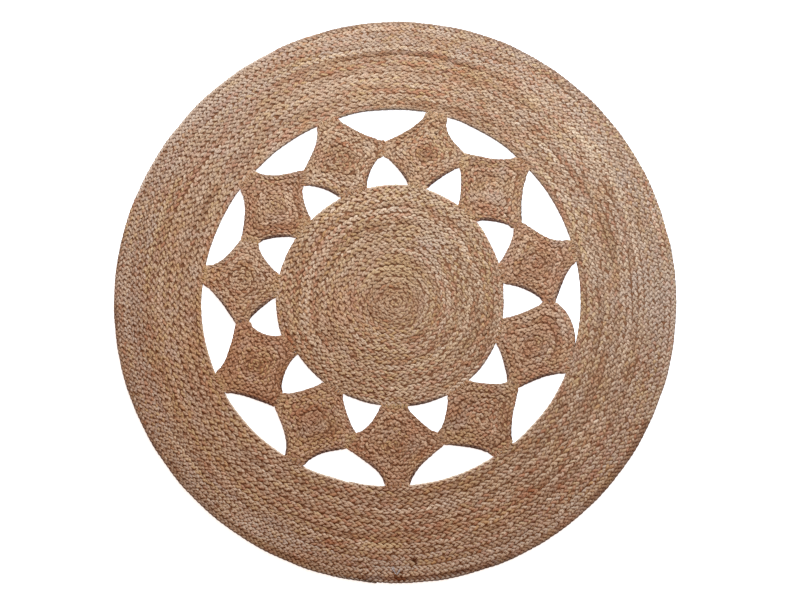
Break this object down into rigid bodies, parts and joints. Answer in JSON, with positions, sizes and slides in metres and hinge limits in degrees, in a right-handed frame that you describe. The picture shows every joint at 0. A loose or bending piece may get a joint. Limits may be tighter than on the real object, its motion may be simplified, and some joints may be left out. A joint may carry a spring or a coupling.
{
  "type": "round jute rug",
  "caption": "Round braided jute rug lying flat: a wide outer band and a centre disc joined by a ring of corner-sewn braided squares with open gaps between them.",
  "frame": {"origin": "middle of the rug's outline, on its underside", "axes": "+Z up from the floor; +X to the right and +Y up in the picture, which looks straight down"},
  "size_m": [1.2, 1.198, 0.008],
  "materials": {
    "jute_band": "natural tan jute braid, uneven in tone, matt with a slight fibre sheen",
    "jute_disc": "natural tan jute braid, uneven in tone, matt with a slight fibre sheen",
    "jute_square": "natural tan jute braid, slightly redder, matt with a slight fibre sheen"
  },
  "bodies": {
    "root": {"outer_band": "jute_band", "centre_disc": "jute_disc", "square_01": "jute_square", "square_02": "jute_square", "square_03": "jute_square", "square_04": "jute_square", "square_05": "jute_square", "square_06": "jute_square", "square_07": "jute_square", "square_08": "jute_square", "square_09": "jute_square", "square_10": "jute_square", "square_11": "jute_square"}
  },
  "joints": []
}
